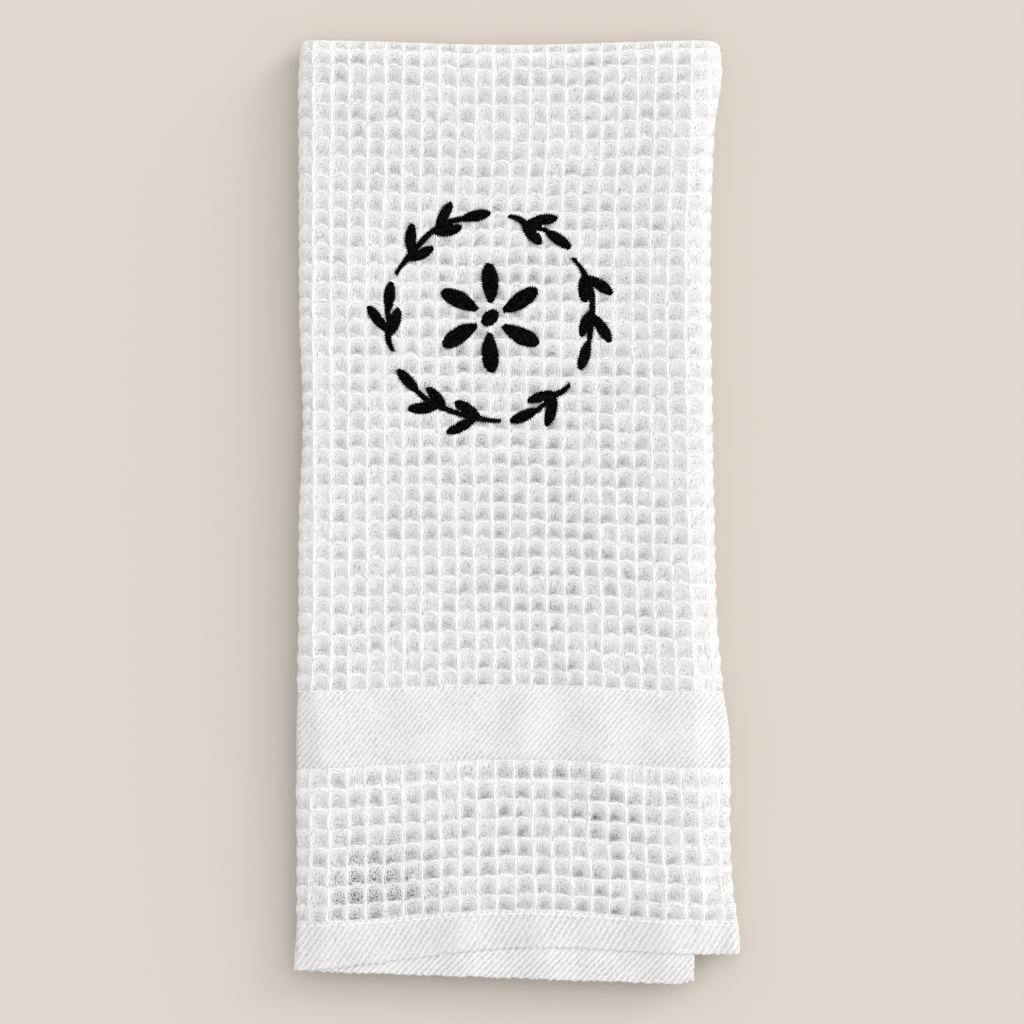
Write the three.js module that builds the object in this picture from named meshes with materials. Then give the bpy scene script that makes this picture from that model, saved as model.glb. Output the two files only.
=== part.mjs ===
// A kitchen towel of honeycomb waffle cloth, folded in three across its width and then in half.
// It is one sheet of cloth with a plain twill band and a turned hem near each end.
// It lies on its back half, with the crosswise fold at +Y and the hems at -Y, seen from +Z.
// Millimetres, +Z up. The origin is on the surface it lies on, below the middle of its outline.

import * as THREE from "three";

// Thickness of the cloth, by its weave
const WAFFLE_THICK = 1.8;
const BAND_THICK = 1.0;
const HEM_THICK = 1.7;
const STITCHED_THICK = 1.0;

// The pile: three layers in the front half and three in the back half, a little apart
const LAYER_PITCH = 2.4;
const LAYERS_PER_HALF = 3;
const BEND_RADIUS = (LAYERS_PER_HALF - 0.5) * LAYER_PITCH;
const OUTER_RADIUS = BEND_RADIUS + WAFFLE_THICK / 2;
const PILE_HEIGHT = 2 * OUTER_RADIUS;

// The left flap lies against the front panel, so its fold is tight; the right flap's fold goes round
// it. Each flap's reach is from the middle of the panel to the flap's free edge.
const LEFT_FOLD_RADIUS = LAYER_PITCH / 2;
const RIGHT_FOLD_RADIUS = LAYER_PITCH;
const LEFT_FLAP_DEPTH = LAYER_PITCH;
const RIGHT_FLAP_DEPTH = 2 * LAYER_PITCH;
const PANEL_WIDTH = 160;
const LEFT_FLAP_REACH = 66.5;
const RIGHT_FLAP_REACH = 71;

// The crosswise fold: how far its middle dips, and how far the hidden half is drawn in at each side
const FOLD_Y = 177;
const FOLD_DIP = 1.7;
const BACK_INSET = 1.2;
const BACK_INSET_LENGTH = 60;

// Past a flap's free edge the pile has four layers instead of six. It sinks over this run, and the
// springy folds close this share of the gap.
const SINK_START = 0.8;
const SINK_RUN = 11;
const SINK_SHARE = 0.55;

// Side edges of the folded towel, at distances down from the crosswise fold
const SIDE_EDGES = [
  { down: 0, left: -80.8, right: 76.3 },
  { down: 15, left: -81.8, right: 77.1 },
  { down: 34, left: -81.8, right: 74.6 },
  { down: 71, left: -81.6, right: 73.1 },
  { down: 105, left: -81.4, right: 73.1 },
  { down: 142, left: -80.1, right: 73.7 },
  { down: 180, left: -81.6, right: 74.4 },
  { down: 218, left: -81.8, right: 75.4 },
  { down: 240, left: -82.3, right: 77.4 },
  { down: 262, left: -82.9, right: 80.2 },
  { down: 296, left: -82.5, right: 80.2 },
  { down: 319, left: -82.5, right: 81.4 },
  { down: 332, left: -82.7, right: 83.4 },
  { down: 343, left: -83.6, right: 84.2 },
  { down: 349, left: -84.2, right: 84.2 },
];

// Lines woven or sewn across the cloth: distances down from the crosswise fold, at the free edge of
// the left flap, the left fold, the middle of the panel, the right fold and the right flap's free edge
const FRONT_LINES = {
  foldEnd: levelLine(OUTER_RADIUS),
  bandHead: { leftFlap: 246, leftFold: 244.5, middle: 241.9, rightFold: 245, rightFlap: 245 },
  bandFoot: { leftFlap: 275, leftFold: 273, middle: 269.3, rightFold: 273, rightFlap: 273 },
  hemLine: { leftFlap: 338, leftFold: 331, middle: 326.3, rightFold: 330.8, rightFlap: 331 },
  hemEdge: { leftFlap: 354, leftFold: 349, middle: 340.3, rightFold: 342.6, rightFlap: 345 },
};
const BACK_LINES = {
  foldEnd: levelLine(OUTER_RADIUS),
  bandHead: { leftFlap: 243, leftFold: 242.5, middle: 241, rightFold: 240, rightFlap: 240 },
  bandFoot: { leftFlap: 271, leftFold: 270.5, middle: 269, rightFold: 267, rightFlap: 267 },
  hemLine: { leftFlap: 329, leftFold: 329, middle: 326, rightFold: 324, rightFlap: 325 },
  hemEdge: { leftFlap: 343, leftFold: 344, middle: 339, rightFold: 338, rightFlap: 339 },
};

// Soft swells and troughs of the pile: where each has its middle, how far it spreads, how high it is
const SWELLS = [
  { name: "left fold", across: -74, down: 130, wide: 16, long: 110, lift: 0.6 },
  { name: "right fold", across: 68, down: 110, wide: 15, long: 110, lift: 1.0 },
  { name: "thin hems", across: 0, down: 358, wide: 220, long: 28, lift: -2.0 },
  { name: "sunken cells", across: -52, down: 317, wide: 17, long: 15, lift: -1.0 },
  { name: "band wave 1", across: -73, down: 258, wide: 12, long: 20, lift: 0.7 },
  { name: "band wave 2", across: -39, down: 258, wide: 11, long: 20, lift: 0.6 },
  { name: "band wave 3", across: -3, down: 260, wide: 13, long: 22, lift: 0.6 },
  { name: "band wave 4", across: 31, down: 260, wide: 12, long: 22, lift: 0.7 },
  { name: "band wave 5", across: 67, down: 258, wide: 12, long: 22, lift: 0.8 },
  { name: "hem wave 1", across: -55, down: 346, wide: 13, long: 15, lift: 0.7 },
  { name: "hem wave 2", across: -18, down: 343, wide: 12, long: 16, lift: 1.0 },
  { name: "hem wave 3", across: 17, down: 343, wide: 14, long: 16, lift: 1.0 },
  { name: "hem wave 4", across: 53, down: 346, wide: 12, long: 17, lift: 1.1 },
  { name: "hem wave 5", across: 78, down: 342, wide: 9, long: 14, lift: 0.7 },
];

// Places across the folded towel: share is 0 at the left edge and 1 at the right edge, and offset is
// the distance to the right of that
const PLACES = {
  leftFlapEdge: { share: 0.5, offset: LEFT_FLAP_REACH },
  leftFold: { share: 0, offset: LEFT_FOLD_RADIUS },
  leftSink: { share: 0.5, offset: -RIGHT_FLAP_REACH - SINK_START },
  rightSink: { share: 0.5, offset: LEFT_FLAP_REACH + SINK_START },
  rightFold: { share: 1, offset: -RIGHT_FOLD_RADIUS },
  rightFlapEdge: { share: 0.5, offset: -RIGHT_FLAP_REACH },
};

// How finely each stretch of cloth is stepped
const LAYER_STEPS = 12;
const SINK_STEPS = 3;
const LEFT_FOLD_STEPS = 4;
const RIGHT_FOLD_STEPS = 5;
const CROSS_FOLD_STEPS = 4;
const FRONT_FIELD_STEPS = 9;
const FRONT_BORDER_STEPS = 4;
const BACK_FIELD_STEPS = 6;
const BACK_BORDER_STEPS = 2;
const THICKNESS_RUN = 1.2;

const { clamp, lerp, smoothstep } = THREE.MathUtils;

function levelLine(down) {
  return { leftFlap: down, leftFold: down, middle: down, rightFold: down, rightFlap: down };
}

// Reads a column of a table at a distance down, on a smooth curve through its rows
function readTable(table, column, down) {
  let row = 1;
  while (row < table.length - 1 && table[row].down < down) {
    row += 1;
  }
  const start = table[row - 1];
  const end = table[row];
  const before = table[Math.max(row - 2, 0)];
  const after = table[Math.min(row + 1, table.length - 1)];
  const length = end.down - start.down;
  const t = clamp((down - start.down) / length, 0, 1);
  const startSlope = ((end[column] - before[column]) / (end.down - before.down)) * length;
  const endSlope = ((after[column] - start[column]) / (after.down - start.down)) * length;
  const t2 = t * t;
  const t3 = t2 * t;
  const values = (2 * t3 - 3 * t2 + 1) * start[column] + (3 * t2 - 2 * t3) * end[column];
  return values + (t3 - 2 * t2 + t) * startSlope + (t3 - t2) * endSlope;
}

// A hump that is 0 at both side folds and 1 in the middle of the panel
function hump(across) {
  return Math.sin(Math.PI * clamp(across, 0, 1)) ** 2;
}

// Distance down to a line, where unrolled is -1 at the left flap's free edge, 0 and 1 at the side
// folds, and 2 at the right flap's free edge
function lineDown(line, unrolled) {
  if (unrolled < 0) {
    return lerp(line.leftFold, line.leftFlap, -unrolled);
  }
  if (unrolled > 1) {
    return lerp(line.rightFold, line.rightFlap, unrolled - 1);
  }
  const rise = (line.leftFold + line.rightFold) / 2 - line.middle;
  return lerp(line.leftFold, line.rightFold, unrolled) - rise * hump(unrolled);
}

function swellAt(x, down) {
  let lift = 0;
  for (const swell of SWELLS) {
    const away = ((x - swell.across) / swell.wide) ** 2 + ((down - swell.down) / swell.long) ** 2;
    lift += swell.lift * Math.exp(-away);
  }
  return lift;
}

// Stations along one layer, from one place across to another. depth is the layer's distance below
// the front panel, and normal points out of the cloth's right side.
function stationsOnLayer(from, to, steps, depth, normal) {
  const stations = [];
  for (let i = 0; i < steps; i += 1) {
    const t = i / steps;
    const share = lerp(PLACES[from].share, PLACES[to].share, t);
    const offset = lerp(PLACES[from].offset, PLACES[to].offset, t);
    const acrossPanel = (share * PANEL_WIDTH + offset) / PANEL_WIDTH;
    stations.push({ unrolled: unrolledPlace(acrossPanel, depth), share, offset, depth, normal });
  }
  return stations;
}

// Where a place lies on the unrolled cloth: -1 at the left flap's free edge, 0 and 1 at the side
// folds, and 2 at the right flap's free edge
function unrolledPlace(acrossPanel, depth) {
  if (depth === LEFT_FLAP_DEPTH) {
    return (-acrossPanel * PANEL_WIDTH) / (PANEL_WIDTH / 2 + LEFT_FLAP_REACH);
  }
  if (depth === RIGHT_FLAP_DEPTH) {
    return 1 + ((1 - acrossPanel) * PANEL_WIDTH) / (PANEL_WIDTH / 2 + RIGHT_FLAP_REACH);
  }
  return acrossPanel;
}

// Stations round a side fold, a half circle that bulges to the left (bulge -1) or to the right (1)
function stationsRoundFold(radius, bulge, steps) {
  const stations = [];
  for (let i = 0; i < steps; i += 1) {
    const turned = Math.PI * (i / steps - 0.5);
    const outward = Math.cos(turned) * bulge;
    const deep = Math.sin(turned) * bulge;
    stations.push({
      unrolled: bulge < 0 ? 0 : 1,
      share: bulge < 0 ? 0 : 1,
      offset: radius * (outward - bulge),
      depth: radius * (1 + deep),
      normal: { across: outward, deep },
    });
  }
  return stations;
}

// Stations across the cloth, from the left flap's free edge round both side folds to the right flap's
function stationsAcross() {
  const up = { across: 0, deep: -1 };
  const down = { across: 0, deep: 1 };
  const lastEdge = PLACES.rightFlapEdge;
  return [
    ...stationsOnLayer("leftFlapEdge", "leftSink", LAYER_STEPS, LEFT_FLAP_DEPTH, down),
    ...stationsOnLayer("leftSink", "leftFold", SINK_STEPS, LEFT_FLAP_DEPTH, down),
    ...stationsRoundFold(LEFT_FOLD_RADIUS, -1, LEFT_FOLD_STEPS),
    ...stationsOnLayer("leftFold", "leftSink", SINK_STEPS, 0, up),
    ...stationsOnLayer("leftSink", "rightSink", LAYER_STEPS, 0, up),
    ...stationsOnLayer("rightSink", "rightFold", SINK_STEPS, 0, up),
    ...stationsRoundFold(RIGHT_FOLD_RADIUS, 1, RIGHT_FOLD_STEPS),
    ...stationsOnLayer("rightFold", "rightSink", SINK_STEPS, RIGHT_FLAP_DEPTH, down),
    ...stationsOnLayer("rightSink", "rightFlapEdge", LAYER_STEPS, RIGHT_FLAP_DEPTH, down),
    { ...lastEdge, unrolled: 2, depth: RIGHT_FLAP_DEPTH, normal: down },
  ];
}

// Stations along one half of the cloth, from its hem up to the crosswise fold. Each lies between two
// lines, and may be a little past the first of them, to make room for a change of thickness.
function stationsAlong(half, lines, fieldSteps, borderSteps) {
  const stations = [];
  const add = (from, to, at, thick, past = 0) => {
    stations.push({ half, lines, from, to, at, thick, past, angle: Math.PI / 2 });
  };
  add("hemEdge", "hemLine", 0, HEM_THICK);
  add("hemEdge", "hemLine", 0.5, HEM_THICK);
  add("hemLine", "hemEdge", 0, HEM_THICK, THICKNESS_RUN);
  add("hemLine", "hemEdge", 0, STITCHED_THICK);
  add("hemLine", "bandFoot", 0, WAFFLE_THICK, -THICKNESS_RUN);
  for (let i = 1; i < borderSteps; i += 1) {
    add("hemLine", "bandFoot", i / borderSteps, WAFFLE_THICK);
  }
  add("bandFoot", "hemLine", 0, WAFFLE_THICK, THICKNESS_RUN);
  add("bandFoot", "bandHead", 0, BAND_THICK);
  add("bandFoot", "bandHead", 0.5, BAND_THICK);
  add("bandHead", "foldEnd", 0, BAND_THICK);
  add("bandHead", "foldEnd", 0, WAFFLE_THICK, -THICKNESS_RUN);
  for (let i = 1; i <= fieldSteps; i += 1) {
    add("bandHead", "foldEnd", i / fieldSteps, WAFFLE_THICK);
  }
  for (let i = 1; i < CROSS_FOLD_STEPS; i += 1) {
    const turned = i / CROSS_FOLD_STEPS;
    stations.push({ half, lines, thick: WAFFLE_THICK, angle: (Math.PI / 2) * (1 - turned) });
  }
  return stations;
}

// How far the pile has closed where a flap ends inside it: 0 over the flap, 1 well past its edge
function sunkLayers(x, left, right) {
  const middle = (left + right) / 2;
  const pastRightFlap = middle + PLACES.leftSink.offset - x;
  const pastLeftFlap = x - middle - PLACES.rightSink.offset;
  return {
    left: SINK_SHARE * smoothstep(pastRightFlap, 0, SINK_RUN),
    right: SINK_SHARE * smoothstep(pastLeftFlap, 0, SINK_RUN),
  };
}

// The point of the folded cloth at two stations, on its right side (side 1) or wrong side (side -1).
// Where the left flap has ended, the right flap's layer rises to half its depth.
function clothPoint(across, along, side) {
  const inFold = along.from === undefined;
  let down = OUTER_RADIUS * (1 - Math.cos(along.angle));
  let dipShare = 1;
  if (!inFold) {
    const start = lineDown(along.lines[along.from], across.unrolled);
    const end = lineDown(along.lines[along.to], across.unrolled);
    down = lerp(start, end, along.at) + along.past;
    const bandHead = lineDown(along.lines.bandHead, across.unrolled);
    dipShare = clamp((bandHead - down) / (bandHead - OUTER_RADIUS), 0, 1);
  }
  const inset = along.half < 0 ? BACK_INSET * smoothstep(down, 0, BACK_INSET_LENGTH) : 0;
  const left = readTable(SIDE_EDGES, "left", down) + WAFFLE_THICK / 2 + inset;
  const right = readTable(SIDE_EDGES, "right", down) - WAFFLE_THICK / 2 - inset;
  const offset = across.offset + (across.normal.across * side * along.thick) / 2;
  const x = lerp(left, right, across.share) + offset;
  const dip = FOLD_DIP * hump((x - left) / (right - left)) * dipShare;
  const sink = sunkLayers(x, left, right);
  const bendRadius = BEND_RADIUS - LAYER_PITCH * (sink.left + sink.right);
  const depth = across.depth * (1 - sink.right / 2) + (across.normal.deep * side * along.thick) / 2;
  const radius = bendRadius - depth;
  const straight = inFold ? 0 : down - OUTER_RADIUS;
  const y = FOLD_Y - OUTER_RADIUS + radius * Math.cos(along.angle) - straight - dip;
  const flatZ = bendRadius + WAFFLE_THICK / 2 + along.half * radius * Math.sin(along.angle);
  return new THREE.Vector3(x, y, flatZ * (1 + swellAt(x, FOLD_Y - y) / PILE_HEIGHT));
}

// The closed sheet: its right side, its wrong side, and a strip round its four cut or turned edges
function foldedTowel() {
  const across = stationsAcross();
  const front = stationsAlong(1, FRONT_LINES, FRONT_FIELD_STEPS, FRONT_BORDER_STEPS);
  const back = stationsAlong(-1, BACK_LINES, BACK_FIELD_STEPS, BACK_BORDER_STEPS).reverse();
  const ridge = { half: 1, lines: FRONT_LINES, thick: WAFFLE_THICK, angle: 0 };
  const along = [...front, ridge, ...back];
  const positions = [];
  for (const side of [1, -1]) {
    for (const row of along) {
      for (const column of across) {
        positions.push(...clothPoint(column, row, side).toArray());
      }
    }
  }
  const indices = [];
  const index = (side, row, column) => (side * along.length + row) * across.length + column;
  const addFace = (a, b, c, d) => indices.push(a, b, c, a, c, d);
  const lastRow = along.length - 1;
  const lastColumn = across.length - 1;
  for (let row = 0; row < lastRow; row += 1) {
    for (let column = 0; column < lastColumn; column += 1) {
      const near = [index(0, row, column), index(0, row, column + 1)];
      const far = [index(0, row + 1, column), index(0, row + 1, column + 1)];
      addFace(near[0], near[1], far[1], far[0]);
      const nearWrong = [index(1, row, column), index(1, row, column + 1)];
      const farWrong = [index(1, row + 1, column), index(1, row + 1, column + 1)];
      addFace(nearWrong[0], farWrong[0], farWrong[1], nearWrong[1]);
    }
  }
  for (let row = 0; row < lastRow; row += 1) {
    addFace(index(0, row, 0), index(0, row + 1, 0), index(1, row + 1, 0), index(1, row, 0));
    const start = [index(0, row, lastColumn), index(1, row, lastColumn)];
    const end = [index(0, row + 1, lastColumn), index(1, row + 1, lastColumn)];
    addFace(start[0], start[1], end[1], end[0]);
  }
  for (let column = 0; column < lastColumn; column += 1) {
    addFace(index(0, 0, column), index(1, 0, column), index(1, 0, column + 1), index(0, 0, column + 1));
    const start = [index(0, lastRow, column), index(1, lastRow, column)];
    const end = [index(0, lastRow, column + 1), index(1, lastRow, column + 1)];
    addFace(start[0], end[0], end[1], start[1]);
  }
  const geometry = new THREE.BufferGeometry();
  geometry.setAttribute("position", new THREE.Float32BufferAttribute(positions, 3));
  geometry.setIndex(indices);
  geometry.computeVertexNormals();
  return geometry;
}

const cotton = new THREE.MeshStandardMaterial({ color: 0xf4f3ef, roughness: 0.95, metalness: 0 });
const towel = new THREE.Mesh(foldedTowel(), cotton);
towel.name = "towel";

const foldedKitchenTowel = new THREE.Group();
foldedKitchenTowel.add(towel);

export default foldedKitchenTowel;
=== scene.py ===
"""A white waffle-weave kitchen towel with black embroidery, folded and lying flat, seen from above."""

import math

import bpy
import numpy as np
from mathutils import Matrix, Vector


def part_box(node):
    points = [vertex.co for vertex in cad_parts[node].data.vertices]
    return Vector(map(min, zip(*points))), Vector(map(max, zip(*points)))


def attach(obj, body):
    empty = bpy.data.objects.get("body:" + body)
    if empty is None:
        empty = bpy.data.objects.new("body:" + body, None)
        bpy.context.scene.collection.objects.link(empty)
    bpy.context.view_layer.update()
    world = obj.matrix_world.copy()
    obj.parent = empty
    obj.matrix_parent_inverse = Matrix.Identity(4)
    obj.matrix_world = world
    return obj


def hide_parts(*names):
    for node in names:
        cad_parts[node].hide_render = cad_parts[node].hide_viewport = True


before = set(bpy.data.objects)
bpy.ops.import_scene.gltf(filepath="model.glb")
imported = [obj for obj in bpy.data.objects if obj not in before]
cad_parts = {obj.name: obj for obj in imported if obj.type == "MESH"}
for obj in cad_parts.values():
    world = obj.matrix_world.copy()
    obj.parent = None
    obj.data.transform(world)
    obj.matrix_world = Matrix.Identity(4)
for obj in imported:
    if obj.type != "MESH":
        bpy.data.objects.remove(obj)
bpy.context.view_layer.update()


# The cloth is one length of cotton with two waffle fields and a twill band towards each end. Its left
# third is folded under the middle, its right third under both, and then it is folded in half. This
# piece is its ground, all through the pile; the weaves and hems that show are laid on it further down.
FOLD_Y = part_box("towel")[1].y
WAFFLE_THICK = 0.0018
LAYER_PITCH = 0.0024
BEND_RADIUS = 2.5 * LAYER_PITCH
OUTER_RADIUS = BEND_RADIUS + WAFFLE_THICK / 2
PILE_HEIGHT = 2 * OUTER_RADIUS
FOLD_QUARTER = BEND_RADIUS * math.pi / 2
FOLD_DIP = 0.0017
LEFT_FOLD_RADIUS = LAYER_PITCH / 2
RIGHT_FOLD_RADIUS = LAYER_PITCH
LEFT_FLAP_REACH = 0.0665
RIGHT_FLAP_REACH = 0.071
LEFT_FLAP_WIDTH = 0.1465
RIGHT_FLAP_WIDTH = 0.151
BACK_INSET = 0.0012
BACK_INSET_LENGTH = 0.060
SINK_START = 0.0008
SINK_RUN = 0.011
SINK_SHARE = 0.55
CORNER_REACH = 0.85
CORNER_LENGTH = 0.070
HEM_DROOP = 0.0015
DROOP_LENGTH = 0.016
DROOP_SIDES = 0.012

# Side edges of the folded towel, at distances down from the crosswise fold
SIDE_EDGES = {
    "down": [0, 0.015, 0.034, 0.071, 0.105, 0.142, 0.180, 0.218, 0.240, 0.262, 0.296, 0.319, 0.332,
             0.343, 0.349],
    "left": [-0.0808, -0.0818, -0.0818, -0.0816, -0.0814, -0.0801, -0.0816, -0.0818, -0.0823, -0.0829,
             -0.0825, -0.0825, -0.0827, -0.0836, -0.0842],
    "right": [0.0763, 0.0771, 0.0746, 0.0731, 0.0731, 0.0737, 0.0744, 0.0754, 0.0774, 0.0802, 0.0802, 0.0814,
              0.0834, 0.0842, 0.0842],
}

# Lines woven or sewn across the cloth, by their distance down at five places across it
LINE_PLACES = ("left_flap", "left_fold", "middle", "right_fold", "right_flap")
FRONT_LINES = {
    "band_head": (0.246, 0.2445, 0.2419, 0.245, 0.245),
    "band_foot": (0.275, 0.273, 0.2693, 0.273, 0.273),
    "hem_line": (0.338, 0.331, 0.3263, 0.3308, 0.331),
    "hem_edge": (0.354, 0.349, 0.3403, 0.3426, 0.345),
}
BACK_LINES = {
    "band_head": (0.243, 0.2425, 0.241, 0.240, 0.240),
    "band_foot": (0.271, 0.2705, 0.269, 0.267, 0.267),
    "hem_line": (0.329, 0.329, 0.326, 0.324, 0.325),
    "hem_edge": (0.343, 0.344, 0.339, 0.338, 0.339),
}

# Soft swells and troughs of the pile: across, down, wide, long, lift
SWELLS = {
    "left fold": (-0.074, 0.130, 0.016, 0.110, 0.0006),
    "right fold": (0.068, 0.110, 0.015, 0.110, 0.0010),
    "thin hems": (0.0, 0.358, 0.220, 0.028, -0.0020),
    "sunken cells": (-0.052, 0.317, 0.017, 0.015, -0.0010),
    "band 1": (-0.072, 0.258, 0.012, 0.020, 0.0009),
    "band 2": (-0.034, 0.258, 0.010, 0.020, 0.0007),
    "band 3": (0.002, 0.260, 0.009, 0.022, 0.0012),
    "band 4": (0.032, 0.260, 0.010, 0.022, 0.0017),
    "band 5": (0.067, 0.258, 0.012, 0.022, 0.0008),
    "hem 1": (-0.055, 0.346, 0.012, 0.015, 0.0009),
    "hem 2": (-0.021, 0.342, 0.009, 0.016, 0.0022),
    "hem 3": (0.010, 0.342, 0.009, 0.016, 0.0022),
    "hem 4": (0.029, 0.340, 0.005, 0.012, 0.0009),
    "hem 5": (0.057, 0.343, 0.009, 0.016, 0.0026),
    "hem 6": (0.078, 0.342, 0.009, 0.014, 0.0007),
}


def smooth(t):
    t = np.clip(t, 0, 1)
    return t * t * (3 - 2 * t)


def swelling(away):
    """1 at its middle and softly down to 0 around it; away is the distance in widths."""
    return np.exp(-(away**2))


def near(across, down, place_across, place_down, wide, long):
    """1 at a place on the towel and softly down to 0 around it."""
    return swelling(np.hypot((across - place_across) / wide, (down - place_down) / long))


def hump(share):
    """0 at both side folds and 1 in the middle of the panel."""
    return np.sin(np.pi * np.clip(share, 0, 1)) ** 2


def read_table(table, column, down):
    """A column of a table at a distance down, on a smooth curve through its rows."""
    rows = np.array(table["down"])
    values = np.array(table[column])
    row = np.clip(np.searchsorted(rows, down), 1, len(rows) - 1)
    before = np.maximum(row - 2, 0)
    after = np.minimum(row + 1, len(rows) - 1)
    length = rows[row] - rows[row - 1]
    t = np.clip((down - rows[row - 1]) / length, 0, 1)
    start_slope = (values[row] - values[before]) / (rows[row] - rows[before]) * length
    end_slope = (values[after] - values[row - 1]) / (rows[after] - rows[row - 1]) * length
    start = (2 * t**3 - 3 * t**2 + 1) * values[row - 1] + (t**3 - 2 * t**2 + t) * start_slope
    return start + (3 * t**2 - 2 * t**3) * values[row] + (t**3 - t**2) * end_slope


def down_at(run):
    """Distance down from the crosswise fold's outline, at a run of cloth from the top of that fold."""
    straight = np.abs(run) - FOLD_QUARTER
    return np.where(straight > 0, OUTER_RADIUS + straight, OUTER_RADIUS * (1 - np.cos(run / BEND_RADIUS)))


def run_at(half, down):
    """Run of cloth from the top of the crosswise fold: positive in the front half (half 1), negative in
    the back half (half -1)."""
    return half * (down - OUTER_RADIUS + FOLD_QUARTER)


def line_down(half, line, across):
    """Distance down to a woven or sewn line, at a distance across the unfolded cloth."""
    lines = FRONT_LINES if half > 0 else BACK_LINES
    at = dict(zip(LINE_PLACES, lines[line]))
    left = float(read_table(SIDE_EDGES, "left", at["left_fold"]))
    right = float(read_table(SIDE_EDGES, "right", at["right_fold"]))
    places = [left - LEFT_FLAP_WIDTH, left, right, right + RIGHT_FLAP_WIDTH]
    level = np.interp(across, places, [at["left_flap"], at["left_fold"], at["right_fold"], at["right_flap"]])
    rise = (at["left_fold"] + at["right_fold"]) / 2 - at["middle"]
    return level - rise * hump((across - left) / (right - left))


def line_run(half, line, across):
    return run_at(half, line_down(half, line, across))


def side_folds(run):
    """Where the middle of the cloth's thickness turns at the left and right side folds."""
    down = down_at(run)
    inset = np.where(run < 0, BACK_INSET * smooth(down / BACK_INSET_LENGTH), 0)
    left = read_table(SIDE_EDGES, "left", down) + WAFFLE_THICK / 2 + inset
    right = read_table(SIDE_EDGES, "right", down) - WAFFLE_THICK / 2 - inset
    return left, right


def lay_cloth(across, run, lift):
    """Points of the folded cloth. across is x on the panel that shows, and goes on along the cloth
    round the side folds; run goes round the crosswise fold; lift is the height on the right side."""
    left, right = side_folds(run)
    left_centre = left + LEFT_FOLD_RADIUS
    right_centre = right - RIGHT_FOLD_RADIUS
    left_turn = np.clip((left_centre - across) / LEFT_FOLD_RADIUS, 0, np.pi)
    right_turn = np.clip((across - right_centre) / RIGHT_FOLD_RADIUS, 0, np.pi)
    on_left_flap = np.maximum(left_centre - across - np.pi * LEFT_FOLD_RADIUS, 0)
    on_right_flap = np.maximum(across - right_centre - np.pi * RIGHT_FOLD_RADIUS, 0)
    x = np.clip(across, left_centre, right_centre) + on_left_flap - on_right_flap
    x += (RIGHT_FOLD_RADIUS + lift) * np.sin(right_turn) - (LEFT_FOLD_RADIUS + lift) * np.sin(left_turn)
    depth = LEFT_FOLD_RADIUS * (1 - np.cos(left_turn)) + RIGHT_FOLD_RADIUS * (1 - np.cos(right_turn))

    middle = (left + right) / 2
    down = down_at(run)
    left_sink = SINK_SHARE * smooth((middle - RIGHT_FLAP_REACH - SINK_START - x) / SINK_RUN)
    right_sink = SINK_SHARE * smooth((x - middle - LEFT_FLAP_REACH - SINK_START) / SINK_RUN)
    sink = LAYER_PITCH * (left_sink + right_sink)
    bend_radius = BEND_RADIUS - sink
    from_folds = np.minimum(across - left_centre, right_centre - across)
    before_edge = line_down(1, "hem_edge", across) - down
    droop = HEM_DROOP * smooth(from_folds / DROOP_SIDES) * smooth(1 - before_edge / DROOP_LENGTH) * (run > 0)
    radius = bend_radius - depth * (1 - right_sink / 2) + lift * np.cos(left_turn + right_turn) - droop

    turn = np.clip(run / BEND_RADIUS, -np.pi / 2, np.pi / 2)
    straight = np.maximum(np.abs(run) - FOLD_QUARTER, 0)
    band_down = line_down(1, "band_head", across)
    dip_share = np.clip((band_down - down) / (band_down - OUTER_RADIUS), 0, 1)
    dip = FOLD_DIP * hump((x - left) / (right - left)) * dip_share
    corner_reach = CORNER_REACH * sink * (1 - smooth(down / CORNER_LENGTH))
    y = FOLD_Y - OUTER_RADIUS + corner_reach + radius * np.cos(turn) - straight - dip
    z = bend_radius + WAFFLE_THICK / 2 + radius * np.sin(turn)
    swell = np.zeros_like(z)
    for *place, swell_lift in SWELLS.values():
        swell += swell_lift * near(x, FOLD_Y - y, *place)
    return np.stack([x, y, np.maximum(z * (1 + swell / PILE_HEIGHT), 0)], axis=-1)


def grid_faces(rows, columns, start=0, flip=False):
    """Quads of a grid of points, numbered row by row."""
    corner = start + np.arange(rows - 1)[:, None] * columns + np.arange(columns - 1)
    quads = np.stack([corner, corner + 1, corner + columns + 1, corner + columns], axis=-1).reshape(-1, 4)
    return quads[:, ::-1] if flip else quads


def make_mesh(name, points, quads, material, **places):
    """A smooth mesh piece. Each of places gives its points' places in a weave, two numbers each."""
    mesh = bpy.data.meshes.new(name)
    mesh.vertices.add(points.size // 3)
    mesh.vertices.foreach_set("co", np.ascontiguousarray(points, np.float32).ravel())
    mesh.loops.add(quads.size)
    mesh.loops.foreach_set("vertex_index", np.ascontiguousarray(quads, np.int32).ravel())
    mesh.polygons.add(len(quads))
    mesh.polygons.foreach_set("loop_start", np.arange(0, quads.size, 4, dtype=np.int32))
    mesh.update(calc_edges=True)
    mesh.shade_smooth()
    for place_name, place in places.items():
        layer = mesh.uv_layers.new(name=place_name)
        at_corners = place.reshape(-1, 2)[quads.ravel()]
        layer.uv.foreach_set("vector", np.ascontiguousarray(at_corners, np.float32).ravel())
    mesh.materials.append(material)
    piece = bpy.data.objects.new(name, mesh)
    bpy.context.scene.collection.objects.link(piece)
    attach(piece, "root")
    return piece


COTTON_WHITE = (0.87, 0.858, 0.847)


def new_material(name, base_color, roughness):
    """A material with a plain surface shader, to build on."""
    material = bpy.data.materials.new(name)
    material.use_nodes = True
    surface = material.node_tree.nodes["Principled BSDF"]
    surface.inputs["Base Color"].default_value = (*base_color, 1)
    surface.inputs["Roughness"].default_value = roughness
    return material, surface


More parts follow.
